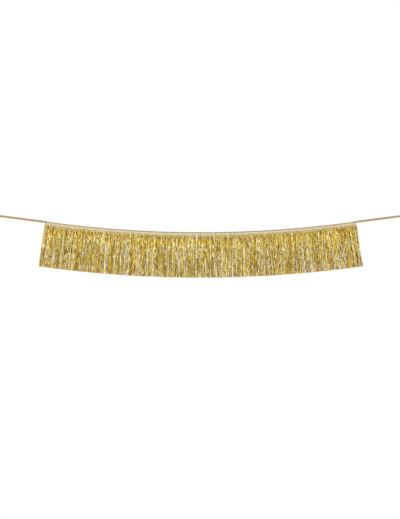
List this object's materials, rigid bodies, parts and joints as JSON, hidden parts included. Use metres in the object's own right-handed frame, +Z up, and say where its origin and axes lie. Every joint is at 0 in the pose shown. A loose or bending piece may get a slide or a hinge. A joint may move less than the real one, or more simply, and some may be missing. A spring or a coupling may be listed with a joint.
{
  "type": "tinsel fringe garland",
  "caption": "Gold foil fringe on a folded ribbon that sags between taut tails, which end in knots and hanging loops.",
  "frame": {"origin": "centre of the left hook, on the axis of the left hanging loop's bend", "axes": "+X along the garland to the right hook, +Y to the back, +Z up; the fringe faces -Y and +Y alike"},
  "size_m": [2.5294, 0.013, 0.3768],
  "materials": {
    "foil_strands": "gloss",
    "foil_film": "gloss",
    "satin_ribbon": "satin",
    "heading_tape": "satin",
    "ribbon_thread": "satin",
    "tack_thread": "matte"
  },
  "bodies": {
    "left_hanger": {"left_loop": "satin_ribbon", "left_knot": "satin_ribbon"},
    "garland": {"binding_ribbon": "satin_ribbon", "film_heading": "foil_film", "front_heading_tape": "heading_tape", "back_heading_tape": "heading_tape", "front_stitching": "ribbon_thread", "back_stitching": "ribbon_thread", "left_end_tack": "tack_thread", "right_end_tack": "tack_thread", "left_tail_ribbon": "satin_ribbon", "right_tail_ribbon": "satin_ribbon"},
    "right_hanger": {"right_loop": "satin_ribbon", "right_knot": "satin_ribbon"},
    "hank_01": {"front_strands_01": "foil_strands", "back_strands_01": "foil_strands"},
    "hank_02": {"front_strands_02": "foil_strands", "back_strands_02": "foil_strands"},
    "hank_03": {"front_strands_03": "foil_strands", "back_strands_03": "foil_strands"},
    "hank_04": {"front_strands_04": "foil_strands", "back_strands_04": "foil_strands"},
    "hank_05": {"front_strands_05": "foil_strands", "back_strands_05": "foil_strands"},
    "hank_06": {"front_strands_06": "foil_strands", "back_strands_06": "foil_strands"},
    "hank_07": {"front_strands_07": "foil_strands", "back_strands_07": "foil_strands"},
    "hank_08": {"front_strands_08": "foil_strands", "back_strands_08": "foil_strands"},
    "hank_09": {"front_strands_09": "foil_strands", "back_strands_09": "foil_strands"},
    "hank_10": {"front_strands_10": "foil_strands", "back_strands_10": "foil_strands"},
    "hank_11": {"front_strands_11": "foil_strands", "back_strands_11": "foil_strands"},
    "hank_12": {"front_strands_12": "foil_strands", "back_strands_12": "foil_strands"},
    "hank_13": {"front_strands_13": "foil_strands", "back_strands_13": "foil_strands"},
    "hank_14": {"front_strands_14": "foil_strands", "back_strands_14": "foil_strands"},
    "hank_15": {"front_strands_15": "foil_strands", "back_strands_15": "foil_strands"},
    "hank_16": {"front_strands_16": "foil_strands", "back_strands_16": "foil_strands"},
    "hank_17": {"front_strands_17": "foil_strands", "back_strands_17": "foil_strands"},
    "hank_18": {"front_strands_18": "foil_strands", "back_strands_18": "foil_strands"},
    "hank_19": {"front_strands_19": "foil_strands", "back_strands_19": "foil_strands"},
    "hank_20": {"front_strands_20": "foil_strands", "back_strands_20": "foil_strands"}
  },
  "joints": [
    {"name": "garland_swing", "type": "hinge", "parent": "left_hanger", "child": "garland", "pos_m": [0.05752, 0, -0.00742], "axis": [1, 0, 0], "range_deg": [-45, 45]},
    {"name": "right_hanger_turn", "type": "hinge", "parent": "garland", "child": "right_hanger", "pos_m": [2.46289, 0, -0.00742], "axis": [1, 0, 0], "range_deg": [-45, 45]},
    {"name": "hank_01_swing", "type": "hinge", "parent": "garland", "child": "hank_01", "pos_m": [0.39117, 0, -0.06539], "axis": [0.9913, 0, -0.1313], "range_deg": [-75, 75]},
    {"name": "hank_02_swing", "type": "hinge", "parent": "garland", "child": "hank_02", "pos_m": [0.4822, 0, -0.0768], "axis": [0.9931, 0, -0.1175], "range_deg": [-75, 75]},
    {"name": "hank_03_swing", "type": "hinge", "parent": "garland", "child": "hank_03", "pos_m": [0.57338, 0, -0.08695], "axis": [0.9946, 0, -0.1037], "range_deg": [-75, 75]},
    {"name": "hank_04_swing", "type": "hinge", "parent": "garland", "child": "hank_04", "pos_m": [0.66469, 0, -0.09584], "axis": [0.9959, 0, -0.09], "range_deg": [-75, 75]},
    {"name": "hank_05_swing", "type": "hinge", "parent": "garland", "child": "hank_05", "pos_m": [0.75611, 0, -0.10346], "axis": [0.9971, 0, -0.0761], "range_deg": [-75, 75]},
    {"name": "hank_06_swing", "type": "hinge", "parent": "garland", "child": "hank_06", "pos_m": [0.84763, 0, -0.10981], "axis": [0.9981, 0, -0.0623], "range_deg": [-75, 75]},
    {"name": "hank_07_swing", "type": "hinge", "parent": "garland", "child": "hank_07", "pos_m": [0.93923, 0, -0.11489], "axis": [0.9988, 0, -0.0485], "range_deg": [-75, 75]},
    {"name": "hank_08_swing", "type": "hinge", "parent": "garland", "child": "hank_08", "pos_m": [1.0309, 0, -0.11871], "axis": [0.9994, 0, -0.0346], "range_deg": [-75, 75]},
    {"name": "hank_09_swing", "type": "hinge", "parent": "garland", "child": "hank_09", "pos_m": [1.1226, 0, -0.12125], "axis": [0.9998, 0, -0.0208], "range_deg": [-75, 75]},
    {"name": "hank_10_swing", "type": "hinge", "parent": "garland", "child": "hank_10", "pos_m": [1.21434, 0, -0.12252], "axis": [1, 0, -0.0069], "range_deg": [-75, 75]},
    {"name": "hank_11_swing", "type": "hinge", "parent": "garland", "child": "hank_11", "pos_m": [1.30608, 0, -0.12252], "axis": [1, 0, 0.0069], "range_deg": [-75, 75]},
    {"name": "hank_12_swing", "type": "hinge", "parent": "garland", "child": "hank_12", "pos_m": [1.39781, 0, -0.12125], "axis": [0.9998, 0, 0.0208], "range_deg": [-75, 75]},
    {"name": "hank_13_swing", "type": "hinge", "parent": "garland", "child": "hank_13", "pos_m": [1.48952, 0, -0.11871], "axis": [0.9994, 0, 0.0346], "range_deg": [-75, 75]},
    {"name": "hank_14_swing", "type": "hinge", "parent": "garland", "child": "hank_14", "pos_m": [1.58118, 0, -0.11489], "axis": [0.9988, 0, 0.0485], "range_deg": [-75, 75]},
    {"name": "hank_15_swing", "type": "hinge", "parent": "garland", "child": "hank_15", "pos_m": [1.67278, 0, -0.10981], "axis": [0.9981, 0, 0.0623], "range_deg": [-75, 75]},
    {"name": "hank_16_swing", "type": "hinge", "parent": "garland", "child": "hank_16", "pos_m": [1.7643, 0, -0.10346], "axis": [0.9971, 0, 0.0761], "range_deg": [-75, 75]},
    {"name": "hank_17_swing", "type": "hinge", "parent": "garland", "child": "hank_17", "pos_m": [1.85573, 0, -0.09584], "axis": [0.9959, 0, 0.09], "range_deg": [-75, 75]},
    {"name": "hank_18_swing", "type": "hinge", "parent": "garland", "child": "hank_18", "pos_m": [1.94704, 0, -0.08695], "axis": [0.9946, 0, 0.1037], "range_deg": [-75, 75]},
    {"name": "hank_19_swing", "type": "hinge", "parent": "garland", "child": "hank_19", "pos_m": [2.03822, 0, -0.0768], "axis": [0.9931, 0, 0.1175], "range_deg": [-75, 75]},
    {"name": "hank_20_swing", "type": "hinge", "parent": "garland", "child": "hank_20", "pos_m": [2.12925, 0, -0.06539], "axis": [0.9913, 0, 0.1313], "range_deg": [-75, 75]}
  ],
  "couplings": [
    {"joint": "right_hanger_turn", "follows": "garland_swing", "ratio": -1}
  ]
}
